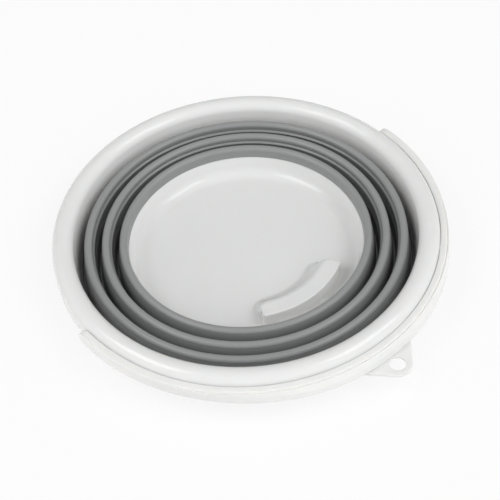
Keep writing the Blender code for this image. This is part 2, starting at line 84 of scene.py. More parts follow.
def make_piece(name, sheet, closed_rows=True, closed_columns=True):
    """A mesh from a grid of points, which is an array of shape (rows, columns, 3)."""
    mesh = bpy.data.meshes.new(name)
    faces = grid_faces(*sheet.shape[:2], closed_rows, closed_columns)
    mesh.from_pydata(sheet.reshape(-1, 3), [], faces.tolist())
    bm = bmesh.new()
    bm.from_mesh(mesh)
    bmesh.ops.remove_doubles(bm, verts=bm.verts, dist=MERGE_DISTANCE)
    bmesh.ops.recalc_face_normals(bm, faces=bm.faces)
    if bm.calc_volume(signed=True) < 0:
        bmesh.ops.reverse_faces(bm, faces=bm.faces)
    open_edges = sum(not edge.is_manifold for edge in bm.edges)
    bm.to_mesh(mesh)
    bm.free()
    mesh.shade_smooth()
    mesh.set_sharp_from_angle(angle=SHARP_ANGLE)
    piece = bpy.data.objects.new(name, mesh)
    bpy.context.scene.collection.objects.link(piece)
    shading = piece.modifiers.new("Shading", "WEIGHTED_NORMAL")
    shading.keep_sharp = True
    print(name, "faces:", len(mesh.polygons), "open edges:", open_edges)
    return piece


# %% [markdown]
# A moulded part has no knife-sharp corner, because plastic doesn't fill one. A Bevel modifier could
# round the finished mesh, but here each outline is drawn as straight sides and every corner is bent by
# its own radius. So a crisp lip and a soft foot can stand side by side in one outline.

# %% Outlines with bent corners
BEND_STEPS = 5
SIDE_SHARE = 0.46
CRISP = 0.0003
FINE = 0.0006
SOFT = 0.0008


def arc(centre, radius, start, end, steps):
    """Points centre + radius (cos a, sin a), for angles a from start to end in degrees."""
    a = np.radians(np.linspace(start, end, steps + 1))
    return np.array(centre) + radius * np.stack([np.cos(a), np.sin(a)], axis=-1)


def softened(corners, radii):
    """Each corner of a closed outline becomes the curve first (1-t)^2 + corner 2t(1-t) + last t^2.

    first and last lie on its two sides, at radius / tan(half the corner's angle) from it.
    """
    back = np.roll(corners, 1, axis=-2) - corners
    ahead = np.roll(corners, -1, axis=-2) - corners
    back_length = np.linalg.norm(back, axis=-1, keepdims=True)
    ahead_length = np.linalg.norm(ahead, axis=-1, keepdims=True)
    cosine = (back * ahead).sum(-1, keepdims=True) / (back_length * ahead_length)
    half = np.arccos(np.clip(cosine, -1, 1)) / 2
    room = SIDE_SHARE * np.minimum(back_length, ahead_length)
    cut = np.minimum(radii[..., None] / np.tan(half), room)
    first = (corners + back / back_length * cut)[..., None, :]
    last = (corners + ahead / ahead_length * cut)[..., None, :]
    t = np.linspace(0, 1, BEND_STEPS + 1)[:, None]
    bends = first * (1 - t) ** 2 + corners[..., None, :] * 2 * t * (1 - t) + last * t**2
    return bends.reshape(*corners.shape[:-2], -1, 2)


def outline(*parts):
    """A closed outline of (r, z) points. A part is an array of points, or a corner (r, z, radius)."""
    unbent = [np.pad(part, ((0, 0), (0, 1))) if np.ndim(part) == 2 else [part] for part in parts]
    corners = np.concatenate(unbent)
    points = softened(corners[:, :2], corners[:, 2])
    step = np.linalg.norm(points - np.roll(points, 1, axis=0), axis=1)
    return points[step > MERGE_DISTANCE]


triangle = outline((0, 0, CRISP), (1, 0, FINE), (1, 1, SOFT))
print("a triangle with three bends has", len(triangle), "points")

# %% [markdown]
# Most parts of the bucket are round, so their outlines are carried round its axis. The angle starts at
# the handle's side, which is -Y in the frame.

# %% Round parts
TURNS = 288


def turned(profile):
    """An (r, z) outline carried round the Z axis: x = r sin a, y = -r cos a, for a full turn of a."""
    a = np.linspace(0, 2 * np.pi, TURNS, endpoint=False)[:, None]
    r, z = profile.T
    x, y = np.sin(a) * r, -np.cos(a) * r
    return np.stack([x, y, np.broadcast_to(z, x.shape)], axis=-1)


print("a full turn has", TURNS, "steps of", 360 / TURNS, "degrees")

# %% [markdown]
# The main sizes, in metres, follow from the frame: the rim's box gives the outer radius and the top,
# and the dish's box gives the height of its edge. The others are the walls, pitches and radii of the
# real mouldings. Each ring lies one pitch inside the next, so one pitch places all three.

# %% Main sizes
FIT_GAP = 0.0003
RIM_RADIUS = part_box("rim")[1].x
RIM_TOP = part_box("rim")[1].z
JOINT_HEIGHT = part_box("base_dish")[1].z
RIM_WIDTH = 0.0215
RIM_WALL = 0.0022
CREST_DROP = 0.015
FOLD_DEPTH = 0.024
CREST_HEIGHT = RIM_TOP - CREST_DROP
VALLEY_HEIGHT = CREST_HEIGHT - FOLD_DEPTH
BEAD_RADIUS = 0.0035
RING_PITCH = 0.015
WEB_FLARE = 0.0033
WEB_FOOT_REACH = BEAD_RADIUS + WEB_FLARE
SKIRT_GAP = 0.002
SKIRT_RADIUS = RIM_RADIUS - RIM_WIDTH
SKIRT_BOTTOM = VALLEY_HEIGHT + SKIRT_GAP
RING_3_RADIUS = SKIRT_RADIUS - SKIRT_GAP - WEB_FOOT_REACH
RING_2_RADIUS = RING_3_RADIUS - RING_PITCH
RING_1_RADIUS = RING_2_RADIUS - RING_PITCH
RING_RADII = {1: RING_1_RADIUS, 2: RING_2_RADIUS, 3: RING_3_RADIUS}
JOINT_STEP = 0.0005
JOINT_RADIUS = RING_1_RADIUS - BEAD_RADIUS - JOINT_STEP
print("ring radii in mm:", [round(radius * 1000, 1) for radius in RING_RADII.values()])

# %% [markdown]
# The camera looks down at the folded bucket from its front left at 47 degrees, from 1.2 metres, with a
# long lens and a slight roll. Its shift puts the bucket where the photograph has it in the frame.

# %% Camera
CAMERA_PLACE = Vector((-0.4965, -0.6447, 0.9240))
CAMERA_ROLL = math.radians(-4.48)
LENS = 101.94
SENSOR_WIDTH = 36
CAMERA_SHIFT = (0.01048, -0.05362)

back = (CAMERA_PLACE - Vector((0, 0, RIM_TOP))).normalized()
level = Vector((0, 0, 1)).cross(back).normalized()
right = level * math.cos(CAMERA_ROLL) + back.cross(level) * math.sin(CAMERA_ROLL)
turn = Matrix((right, back.cross(right), back)).transposed()

camera = bpy.data.objects.new("camera", bpy.data.cameras.new("camera"))
camera.matrix_world = Matrix.Translation(CAMERA_PLACE) @ turn.to_4x4()
camera.data.lens = LENS
camera.data.sensor_width = SENSOR_WIDTH
camera.data.shift_x, camera.data.shift_y = CAMERA_SHIFT
bpy.context.scene.collection.objects.link(camera)
bpy.context.scene.camera = camera
bpy.context.scene.view_settings.view_transform = "Standard"
print("camera height in mm:", round(camera.location.z * 1000))

# %% [markdown]
# Lights and finishes are made of shader nodes. Three small helpers keep their cells short: one makes a
# node and sets its inputs, one sets or links a single input, and one does a sum with two sources.

# %% Helpers for nodes


def node(tree, kind, place, **values):
    """A new node of a kind. Each value sets the input of that name, or else the property."""
    new = tree.nodes.new(kind)
    new.location = place
    for name, value in values.items():
        socket = name.replace("_", " ")
        if socket in new.inputs:
            new.inputs[socket].default_value = value
        else:
            setattr(new, name, value)
    return new


def feed(tree, source, socket):
    """Gives an input its source: a number, or what another node puts out."""
    if isinstance(source, (int, float)):
        socket.default_value = source
    else:
        tree.links.new(source, socket)


def maths(tree, operation, first, second, place):
    """One sum with two sources, such as first + second for ADD or the larger one for MAXIMUM."""
    new = node(tree, "ShaderNodeMath", place, operation=operation)
    feed(tree, first, new.inputs[0])
    feed(tree, second, new.inputs[1])
    return new.outputs[0]


def white_to_the_eye(tree, place):
    """1 for rays from the camera, from a glossy surface or through a clear one, and 0 for others."""
    x, y = place
    path = node(tree, "ShaderNodeLightPath", place).outputs
    seen = maths(tree, "MAXIMUM", path["Is Camera Ray"], path["Is Glossy Ray"], (x + 200, y))
    return maths(tree, "MAXIMUM", seen, path["Is Transmission Ray"], (x + 400, y))


def direction(azimuth, elevation):
    """The unit vector (cos a cos e, sin a cos e, sin e) for an azimuth a and elevation e in degrees."""
    a, e = math.radians(azimuth), math.radians(elevation)
    return Vector((math.cos(a) * math.cos(e), math.sin(a) * math.cos(e), math.sin(e)))


print("straight above is", direction(0, 90).to_tuple(3))

# %% [markdown]
# The studio is a white tent. To the camera and in reflections it is plain white. As a light it is made
# of wide glows, most of them close to the table and none straight above. So the walls that face them
# are brighter than the floor, and the narrow valleys between the rings go dark. An even white sky
# would be simpler, but it lights the valleys too much.

# %% The tent
LOW = 8
HIGH = 45
GLOW_EDGE = 0.7

# Each glow has an azimuth and an elevation in degrees, and a brightness.
GLOWS = {
    "right": (-10, LOW, 0.7),
    "front": (-70, LOW, 0.9),
    "left": (170, LOW, 1.4),
    "far": (110, LOW, 0.6),
    "high front": (-85, HIGH, 1.4),
    "high left": (-175, HIGH, 0.5),
}

world = bpy.data.worlds.new("white_room")
bpy.context.scene.world = world
world.use_nodes = True
sky = world.node_tree
background = sky.nodes["Background"]
background.inputs["Color"].default_value = (1, 1, 1, 1)


def glow(towards, brightness, place):
    """The brightness in one direction, falling smoothly to 0 where the cosine is GLOW_EDGE."""
    x, y = place
    where = node(sky, "ShaderNodeTexCoord", (x - 600, y))
    cosine = node(sky, "ShaderNodeVectorMath", (x - 400, y), operation="DOT_PRODUCT")
    cosine.inputs[1].default_value = towards
    fall = node(sky, "ShaderNodeMapRange", (x - 200, y), interpolation_type="SMOOTHSTEP",
                From_Min=GLOW_EDGE, To_Max=brightness)
    sky.links.new(where.outputs["Object"], cosine.inputs[0])
    sky.links.new(cosine.outputs["Value"], fall.inputs["Value"])
    return fall.outputs["Result"]


tent = 0
for row, (azimuth, elevation, brightness) in enumerate(GLOWS.values()):
    one = glow(direction(azimuth, elevation), brightness, (-600, -300 * row))
    tent = maths(sky, "ADD", one, tent, (-350, -300 * row))
strength = node(sky, "ShaderNodeMapRange", (-200, 0), To_Max=1)
sky.links.new(white_to_the_eye(sky, (-900, 0)), strength.inputs["Value"])
sky.links.new(tent, strength.inputs["To Min"])
sky.links.new(strength.outputs["Result"], background.inputs["Strength"])
print("glows:", ", ".join(GLOWS))

# %% [markdown]
# A soft box on each side of the camera draws the long gleams on the rim and on the rounded foot of the
# dish's wall. A wide box of low power gives a broad, quiet gleam. A small strong one would burn it out.

# %% Soft boxes
BOX_DISTANCE = 1.5

# Azimuth and elevation in degrees, width and height in metres, and power in watts.
SOFT_BOXES = {
    "left": (160, 55, (0.85, 0.6), 5.2),
    "right": (-60, 52, (0.8, 0.6), 4.8),
}


def soft_box(name, towards, size, power):
    """A rectangular lamp at BOX_DISTANCE from the bucket's foot, which it faces."""
    lamp = bpy.data.objects.new(name, bpy.data.lights.new(name, "AREA"))
    lamp.data.shape = "RECTANGLE"
    lamp.data.size, lamp.data.size_y = size
    lamp.data.energy = power
    lamp.location = towards * BOX_DISTANCE
    lamp.rotation_euler = towards.to_track_quat("Z", "Y").to_euler()
    bpy.context.scene.collection.objects.link(lamp)


for side, (azimuth, elevation, size, power) in SOFT_BOXES.items():
    soft_box(f"soft_box_{side}", direction(azimuth, elevation), size, power)

# %% [markdown]
# The bucket stands on a white table that runs out of sight. To the eye the table is mostly plain white,
# and what is left of its own shading carries the soft shadow under the rim. A brighter lamp would give
# a white table too, but it would burn out the white plastic.

# %% Floor
FLOOR_REACH = 4.0
FLOOR_GLOW = 0.85
TABLE_COLOUR = (0.93, 0.93, 0.93, 1)

corners = [(x * FLOOR_REACH, y * FLOOR_REACH, 0) for x, y in ((-1, -1), (1, -1), (1, 1), (-1, 1))]
floor_mesh = bpy.data.meshes.new("floor")
floor_mesh.from_pydata(corners, [], [(0, 1, 2, 3)])
floor = bpy.data.objects.new("floor", floor_mesh)
bpy.context.scene.collection.objects.link(floor)

floor_material = bpy.data.materials.new("white_table")
floor_material.use_nodes = True
tree = floor_material.node_tree
tree.nodes.clear()
shaded = node(tree, "ShaderNodeBsdfDiffuse", (0, 100), Color=TABLE_COLOUR)
plain_white = node(tree, "ShaderNodeEmission", (0, -100), Color=(1, 1, 1, 1), Strength=1)
share = node(tree, "ShaderNodeMapRange", (0, 300), To_Max=FLOOR_GLOW)
mix = node(tree, "ShaderNodeMixShader", (200, 0))
end = node(tree, "ShaderNodeOutputMaterial", (400, 0))
tree.links.new(white_to_the_eye(tree, (-700, 300)), share.inputs["Value"])
tree.links.new(share.outputs["Result"], mix.inputs["Fac"])
tree.links.new(shaded.outputs["BSDF"], mix.inputs[1])
tree.links.new(plain_white.outputs["Emission"], mix.inputs[2])
tree.links.new(mix.outputs["Shader"], end.inputs["Surface"])
floor_mesh.materials.append(floor_material)
print("floor reaches", FLOOR_REACH, "m each way")

# %% [markdown]
# Moulded plastic is never one even colour. It has slow clouds where the melt cooled at different
# speeds, a slight waviness like orange peel, and a fine grain from the mould's steel. The white and the
# grey plastic use these by their own amounts, so they are one node group with named inputs, built once.

# %% A new node group
NOISE_MIDDLE = 0.5


def new_group(name, inputs, outputs):
    """An empty node group with named sockets, and its two end nodes."""
    group = bpy.data.node_groups.new(name, "ShaderNodeTree")
    for socket, kind, value in inputs:
        made = group.interface.new_socket(socket, in_out="INPUT", socket_type=kind)
        made.default_value = value
    for socket, kind in outputs:
        group.interface.new_socket(socket, in_out="OUTPUT", socket_type=kind)
    return group, group.nodes.new("NodeGroupInput"), group.nodes.new("NodeGroupOutput")


def centred_noise(tree, scale, detail, place):
    """Noise on the piece's own place in metres, less NOISE_MIDDLE, so that it swings about 0."""
    x, y = place
    where = node(tree, "ShaderNodeTexCoord", (x - 400, y))
    noise = node(tree, "ShaderNodeTexNoise", (x - 200, y), Detail=detail)
    feed(tree, scale, noise.inputs["Scale"])
    tree.links.new(where.outputs["Object"], noise.inputs["Vector"])
    return maths(tree, "SUBTRACT", noise.outputs["Fac"], NOISE_MIDDLE, place)


# %% A group for moulded surfaces
CLOUD_SCALE = 16
WAVE_SCALE = 95


def build_moulded_group():
    """Colour brightened by 1 + clouds, roughness + waves, and a height of waves + grain."""
    group, start, end = new_group(
        "moulded_surface",
        [
            ("Colour", "NodeSocketColor", (0.8, 0.8, 0.8, 1)),
            ("Clouds", "NodeSocketFloat", 0.03),
            ("Roughness", "NodeSocketFloat", 0.4),
            ("Roughness Swing", "NodeSocketFloat", 0.1),
            ("Waviness", "NodeSocketFloat", 0.3),
            ("Grain", "NodeSocketFloat", 0.2),
            ("Grain Scale", "NodeSocketFloat", 900),
        ],
        [
            ("Colour", "NodeSocketColor"),
            ("Roughness", "NodeSocketFloat"),
            ("Height", "NodeSocketFloat"),
        ],
    )
    given = start.outputs
    clouds = centred_noise(group, CLOUD_SCALE, 3, (-400, 300))
    waves = centred_noise(group, WAVE_SCALE, 1, (-400, 0))
    grain = centred_noise(group, given["Grain Scale"], 2, (-400, -300))

    cloud_lift = maths(group, "MULTIPLY", clouds, given["Clouds"], (-200, 300))
    brightness = maths(group, "ADD", cloud_lift, 1, (0, 300))
    bright = node(group, "ShaderNodeHueSaturation", (200, 300))
    group.links.new(brightness, bright.inputs["Value"])
    group.links.new(given["Colour"], bright.inputs["Color"])
    group.links.new(bright.outputs["Color"], end.inputs["Colour"])

    swing = maths(group, "MULTIPLY", waves, given["Roughness Swing"], (-200, 0))
    roughness = maths(group, "ADD", given["Roughness"], swing, (0, 0))
    group.links.new(roughness, end.inputs["Roughness"])

    wave_height = maths(group, "MULTIPLY", waves, given["Waviness"], (-200, -150))
    grain_height = maths(group, "MULTIPLY", grain, given["Grain"], (-200, -300))
    height = maths(group, "ADD", wave_height, grain_height, (0, -200))
    group.links.new(height, end.inputs["Height"])
    return group


moulded_surface = build_moulded_group()
print("inputs:", [s.name for s in moulded_surface.interface.items_tree if s.in_out == "INPUT"])

# %% [markdown]
# Handling shows first on edges, which stand out and get worn, and in creases, where dust stays. On the
# grey wall the paler edge colour also stands for a painted highlight along the beads' ridges. The marks
# could be painted by hand. Here Blender's Pointiness finds them: it is high on an outer edge and low in
# a crease, so two narrow ranges of it give the two masks on every piece.

# %% A group for edges and creases
FLAT_POINTINESS = 0.5


def build_edge_group():
    """Edge rises from 0 to 1 with pointiness above that of a flat place, and Crease with it below."""
    group, start, end = new_group(
        "edges_and_creases",
        [("Edge Width", "NodeSocketFloat", 0.05)],
        [("Edge", "NodeSocketFloat"), ("Crease", "NodeSocketFloat")],
    )
    shape = node(group, "ShaderNodeNewGeometry", (-600, 0)).outputs["Pointiness"]
    for name, way in (("Edge", 1), ("Crease", -1)):
        offset = maths(group, "SUBTRACT", shape, FLAT_POINTINESS, (-400, way * 150))
        turned_way = maths(group, "MULTIPLY", offset, way, (-200, way * 150))
        mask = node(group, "ShaderNodeMapRange", (0, way * 150))
        group.links.new(turned_way, mask.inputs["Value"])
        group.links.new(start.outputs["Edge Width"], mask.inputs["From Max"])
        group.links.new(mask.outputs["Result"], end.inputs[name])
    return group


edges_and_creases = build_edge_group()
print("masks:", [s.name for s in edges_and_creases.interface.items_tree if s.in_out == "OUTPUT"])

# %% [markdown]
# The two finishes. The white parts are polypropylene, slightly warm and glossy, with a little light
# passing under the skin. The handle's white is painted lighter and a touch warmer than the rim's, as
# painted light for its top faces, which get less light. The grey wall is a soft thermoplastic
# elastomer: duller, with a broad sheen, and paler on its edges, partly from handling and partly as a
# painted highlight along the beads' ridges. All three are one recipe with other amounts, so one
# function builds them.

# %% A recipe for plastic


def plastic(name, colour, worn_and_highlight, dusty, wear_and_highlight, dust, bump, **amounts):
    """A Principled material: clouds and grain from the first group, edge and crease marks from the
    second.

    The colour goes towards worn_and_highlight by the edge mask times wear_and_highlight, and towards
    dusty by the crease mask times dust. On the grey that edge colour is partly worn plastic and partly
    a painted highlight. bump is the height in metres of the group's waves and grain.
    """
    material = bpy.data.materials.new(name)
    material.use_nodes = True
    tree = material.node_tree
    shader = tree.nodes["Principled BSDF"]
    group = "ShaderNodeGroup"
    skin = node(tree, group, (-900, 0), node_tree=moulded_surface, Colour=colour, **amounts)
    marks = node(tree, group, (-900, 300), node_tree=edges_and_creases)
    last = skin.outputs["Colour"]
    # On the grey the edge colour is partly a painted highlight along the beads' ridges.
    for mask, shade, amount, x in (("Edge", worn_and_highlight, wear_and_highlight, -500), ("Crease", dusty, dust, -250)):
        layer = node(tree, "ShaderNodeMixRGB", (x, 200), Color2=shade)
        cover = maths(tree, "MULTIPLY", marks.outputs[mask], amount, (x - 150, 400))
        tree.links.new(cover, layer.inputs["Fac"])
        tree.links.new(last, layer.inputs["Color1"])
        last = layer.outputs["Color"]
    tree.links.new(last, shader.inputs["Base Color"])
    tree.links.new(skin.outputs["Roughness"], shader.inputs["Roughness"])
    relief = node(tree, "ShaderNodeBump", (-300, -300), Strength=1, Distance=bump)
    tree.links.new(skin.outputs["Height"], relief.inputs["Height"])
    tree.links.new(relief.outputs["Normal"], shader.inputs["Normal"])
    return material, shader


# %% White and grey plastic
WHITE = (0.80, 0.80, 0.79, 1)
# The handle's white is painted lighter than the rim's, as painted light for its top faces, which get
# less light.
HANDLE_WHITE_PAINTED_LIGHTER = (0.84, 0.84, 0.82, 1)
RUBBED_WHITE = (0.84, 0.84, 0.83, 1)
DUSTY_WHITE = (0.68, 0.66, 0.62, 1)
GREY = (0.25, 0.254, 0.255, 1)
# The grey's paler edge colour: partly worn plastic, partly a painted highlight along the beads' ridges.
RUBBED_AND_HIGHLIGHT_GREY = (0.38, 0.383, 0.385, 1)
DUSTY_GREY = (0.25, 0.25, 0.245, 1)


def white_plastic(name, colour):
    """White polypropylene: glossy, and light passes a few millimetres under its skin."""
    material, shader = plastic(
        name, colour, RUBBED_WHITE, DUSTY_WHITE, wear_and_highlight=0.4, dust=0.4, bump=0.00006,
        Clouds=0.03, Roughness=0.07, Roughness_Swing=0.03,
        Waviness=1.0, Grain=0.08, Grain_Scale=1400,
    )
    shader.inputs["IOR"].default_value = 1.49
    shader.inputs["Subsurface Weight"].default_value = 0.4
    shader.inputs["Subsurface Radius"].default_value = (1.0, 0.9, 0.8)
    shader.inputs["Subsurface Scale"].default_value = 0.006
    return material


white = white_plastic("white_polypropylene", WHITE)
handle_white_painted_lighter = white_plastic("handle_polypropylene_painted_lighter", HANDLE_WHITE_PAINTED_LIGHTER)
# The grey's paler edges are partly worn plastic and partly a painted highlight.
grey, grey_shader = plastic(
    "soft_grey_elastomer", GREY, RUBBED_AND_HIGHLIGHT_GREY, DUSTY_GREY, wear_and_highlight=0.6, dust=0.2, bump=0.00005,
    Clouds=0.05, Roughness=0.35, Roughness_Swing=0.07,
    Waviness=0.6, Grain=0.35, Grain_Scale=2200,
)
grey_shader.inputs["IOR"].default_value = 1.5
grey_shader.inputs["Specular IOR Level"].default_value = 0.5
print("materials:", white.name, handle_white_painted_lighter.name, grey.name)


def finish_piece(piece, material, cad_node):
    """Gives a piece its finish, and hides the node of the frame that it stands for."""
    piece.data.materials.append(material)
    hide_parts(cad_node)
    return piece


# %% [markdown]
# The dish is one moulding: a floor with a hollow grip block, a wall that leans out and a foot ring. It
# could be a lathed dish with a block cut into it by Booleans, but their seam would show where the block
# flows into the floor. So it is one unbroken sheet. It starts at the middle of the block's top, runs
# down its sides, over the floor, up the wall, over its edge, down outside, round the foot ring and back
# under the floor, and ends in the roof of the hollow block. Each row of the grid is a closed line.

# %% The dish's sizes
EDGE_ROUNDING = 0.0004
FLOOR_WALL = 0.0022
FOOT_HEIGHT = 0.003
FLOOR_TOP = FOOT_HEIGHT + FLOOR_WALL
FLOOR_CROWN = 0.0008
DISH_FILLET = 0.012
DISH_SLOPE = 70
DISH_LEAN = math.radians(DISH_SLOPE)
DISH_STRAIGHT = 0.0079
WALL_ACROSS = FLOOR_WALL / math.sin(DISH_LEAN)
DISH_WALL_REACH = DISH_FILLET * math.sin(DISH_LEAN) + DISH_STRAIGHT * math.cos(DISH_LEAN)
FLOOR_RADIUS = JOINT_RADIUS - DISH_WALL_REACH
print("floor radius in mm:", round(FLOOR_RADIUS * 1000, 1))

# %% [markdown]
# The grip block seen from above is a piece of a ring. Its rounded corners have their own radii: small
# at the dish's wall, and wide on the side that faces the middle.

# %% The grip block's outline
BLOCK_WALL_GAP = 0.0023
BLOCK_REACH = FLOOR_RADIUS - BLOCK_WALL_GAP
BLOCK_DEPTH = 0.0184
BLOCK_CORNER = 0.0026
BLOCK_INNER_CORNER = 0.0070
BLOCK_LEAST_CORNER = 0.0009
BLOCK_HALF_ANGLE = math.radians(31.6)
BLOCK_ARC_STEPS = 72
BLOCK_FAR_STEPS = 132
BLOCK_END_STEPS = 12
BLOCK_BEND_STEPS = 8
FAR_BUNCHING = 0.35


def block_outline(inset):
    """Points round the block, as x and y, moved in from its foot by an inset.

    In each corner the radius falls by c (1 - cos q) and the angle grows by c sin q / radius, for q from
    0 to a right angle. The inner side's points are bunched near its middle, because the rays from there
    spread over the far half of the floor.
    """
    outer = BLOCK_REACH - inset
    inner = BLOCK_REACH - BLOCK_DEPTH + inset
    half = BLOCK_HALF_ANGLE - inset / BLOCK_REACH
    out_corner = max(BLOCK_CORNER - inset, BLOCK_LEAST_CORNER)
    in_corner = BLOCK_INNER_CORNER - inset
    q = np.linspace(0, np.pi / 2, BLOCK_BEND_STEPS + 1)
    along = np.linspace(0, 1, BLOCK_ARC_STEPS // 2 + 1)
    far = np.linspace(1, 0, BLOCK_FAR_STEPS // 2 + 1)
    far = FAR_BUNCHING * far + (1 - FAR_BUNCHING) * far**3
    down = np.linspace(0, 1, BLOCK_END_STEPS + 1)[1:-1]
    end_length = outer - inner - out_corner - in_corner
    out_angle, in_angle = out_corner / outer, in_corner / inner
    runs = [
        (outer + 0 * along, (half - out_angle) * along),
        (outer - out_corner * (1 - np.cos(q[1:])), half - out_angle * (1 - np.sin(q[1:]))),
        (outer - out_corner - end_length * down, half + 0 * down),
        (inner + in_corner * (1 - np.cos(q[:0:-1])), half - in_angle * (1 - np.sin(q[:0:-1]))),
        (inner + 0 * far, (half - in_angle) * far),
    ]
    radius = np.concatenate([r for r, a in runs])
    angle = np.concatenate([a for r, a in runs])
    radius = np.concatenate([radius, radius[-2:0:-1]])
    angle = np.concatenate([angle, -angle[-2:0:-1]])
    return np.stack([radius * np.sin(angle), -radius * np.cos(angle)], axis=-1)


def facing(plan):
    """Outward direction at each point: the line between its neighbours, turned by a right angle."""
    along = np.roll(plan, -1, axis=0) - np.roll(plan, 1, axis=0)
    out = np.stack([along[:, 1], -along[:, 0]], axis=-1)
    return out / np.linalg.norm(out, axis=1, keepdims=True)


print("points round the block:", len(block_outline(0)))

# %% [markdown]
# Rays from a point inside the block carry its outline out to a circle, so lines between the two never
# cross. Where a ray from S towards B meets a circle round the axis is the larger root of a quadratic,
# which numpy solves for all points at once.

# %% Rays to a circle
RAY_CENTRE = np.array([0, -(BLOCK_REACH - BLOCK_DEPTH / 2)])


def ray_angles(points, radius):
    """Angle round the axis, from the block's side, at which each point's ray meets the circle."""
    way = points - RAY_CENTRE
    a = (way**2).sum(-1)
    b = way @ RAY_CENTRE
    c = RAY_CENTRE @ RAY_CENTRE - radius**2
    reach = (-b + np.sqrt(b**2 - a * c)) / a
    x, y = (RAY_CENTRE + way * reach[:, None]).T
    return np.unwrap(np.arctan2(x, -y))


def crown(points):
    """How far the floor's slight dome lifts a point: FLOOR_CROWN (1 - (r / FLOOR_RADIUS)^2)."""
    return FLOOR_CROWN * (1 - (points**2).sum(-1) / FLOOR_RADIUS**2)


print("rays start in mm at:", (RAY_CENTRE * 1000).round(1).tolist())

# %% [markdown]
# The block's top is nearly flat and falls a little towards the middle of the dish. A fan of faces from
# one point would pinch the gloss there, so the rows start from a line along the middle of the top.

# %% Rows over the block's top
BLOCK_HEIGHT = 0.0142
BLOCK_TOP_FALL = 0.0006
BLOCK_TOP_ROWS = 8
BLOCK_MIDDLE_SHARE = 0.91


def top_fall(plan):
    """How far the top has fallen: BLOCK_TOP_FALL times the share of the way in from the outer side."""
    share = (BLOCK_REACH - np.linalg.norm(plan, axis=-1)) / BLOCK_DEPTH
    return BLOCK_TOP_FALL * np.clip(share, 0, 1)


def top_rows(edge, level):
    """Rows from the line along the middle of a block's top to its edge: middle + (edge - middle) share.

    The line stops short of the block's ends and has one point for every second point of the outer edge.
    Each point of the edge goes to the one whose angle is nearest.
    """
    radius = np.linalg.norm(edge, axis=1)
    angle = np.arctan2(edge[:, 0], -edge[:, 1])
    stations = angle[: BLOCK_ARC_STEPS // 2 + 1 : 2] * BLOCK_MIDDLE_SHARE
    stations = np.concatenate([-stations[:0:-1], stations])
    nearest = stations[np.abs(angle[:, None] - stations).argmin(axis=1)]
    middle_radius = (radius.max() + radius.min()) / 2
    middle = middle_radius * np.stack([np.sin(nearest), -np.cos(nearest)], axis=-1)
    share = np.linspace(0, 1, BLOCK_TOP_ROWS + 1)[:-1, None, None]
    plan = middle + (edge - middle) * share
    return np.concatenate([plan, (level - top_fall(plan))[..., None]], axis=-1)


print("block height in mm:", round(BLOCK_HEIGHT * 1000, 1))

# %% [markdown]
# The block's outer side and its ends are upright walls with a rounded edge and a small foot. The side
# that faces the middle is a long soft slope. A straight wall with a big bevel would break there, so
# the slope is one wave, and round the corners the walls turn into it.

# %% Rows down the block's sides
BLOCK_EDGE = 0.0008
BLOCK_END_EDGE = 0.0025
BLOCK_WAVE_IN = 0.0066
BLOCK_WAVE_OUT = 0.0122
BLOCK_FOOT = 0.0020
BLOCK_DRAFT = 0.0002
BLOCK_EDGE_ROWS = 9
BLOCK_WALL_ROWS = 16
TOP_FALL_POWER = 8


def block_rows(inset, top, foot):
    """Rows from the middle of a block's top down to its foot, as x, y and z.

    The outer side and the ends have a quarter circle as their edge, then a wall that leans out by its
    draft, and a foot that flares out by 1 - sqrt(1 - (1 - h)^2) over its own height. The inner side is
    one wave: its height falls as (1 + cos(pi t)) / 2 while it goes from BLOCK_WAVE_IN inside the
    outline to BLOCK_WAVE_OUT outside it. A corner takes as much of the wave as it faces the axis.
    """
    plan = block_outline(inset)
    out = facing(plan)
    outward = (out * plan).sum(-1) / np.linalg.norm(plan, axis=-1)
    edge = BLOCK_END_EDGE + (BLOCK_EDGE - BLOCK_END_EDGE) * np.maximum(outward, 0)
    edge = np.maximum(edge - inset, EDGE_ROUNDING)
    q = np.linspace(0, np.pi / 2, BLOCK_EDGE_ROWS)[:, None]
    h = np.sin(np.linspace(np.pi / 2, 0, BLOCK_WALL_ROWS))[:, None]
    rise = np.concatenate([top - edge * (1 - np.cos(q)), (top - edge) * h[1:]])
    flare = 1 - np.sqrt(1 - (1 - np.clip(rise / foot, 0, 1)) ** 2)
    lean = BLOCK_DRAFT * rise / top - foot * flare
    lean[:BLOCK_EDGE_ROWS] += edge * (1 - np.sin(q))

    t = np.linspace(0, 1, len(rise))[:, None]
    inward = np.maximum(-outward, 0)
    rise = rise + (top * (1 + np.cos(np.pi * t)) / 2 - rise) * inward
    lean = lean + ((BLOCK_WAVE_IN - inset) * (1 - t) - BLOCK_WAVE_OUT * t - lean) * inward
    share = rise / top
    sides = plan - out * lean[..., None]
    height = FLOOR_TOP + rise + crown(sides) * (1 - share) - top_fall(sides) * share**TOP_FALL_POWER
    rows = np.concatenate([sides, height[..., None]], axis=-1)
    return np.concatenate([top_rows(sides[0], FLOOR_TOP + top), rows])


print("rows of the block:", len(block_rows(0, BLOCK_HEIGHT, BLOCK_FOOT)))

# %% [markdown]
# From the block's foot the rows run out over the floor to a circle, and from there they are circles.

# %% Rows over the floor and round the wall
FLOOR_ROWS = 26


def floor_rows(start, radius, level):
    """Rows between a closed line and a circle, along the rays, and the angles where they end.

    The share of the way is (1 - cos q) / 2, for q from 0 to pi, so the rows are closer near both ends.
    """
    share = (1 - np.cos(np.linspace(0, np.pi, FLOOR_ROWS + 1)[1:-1, None, None])) / 2
    angle = ray_angles(start[:, :2], radius)
    circle = radius * np.stack([np.sin(angle), -np.cos(angle)], axis=-1)
    plan = start[:, :2] + (circle - start[:, :2]) * share
    return np.concatenate([plan, (level + crown(plan))[..., None]], axis=-1), angle


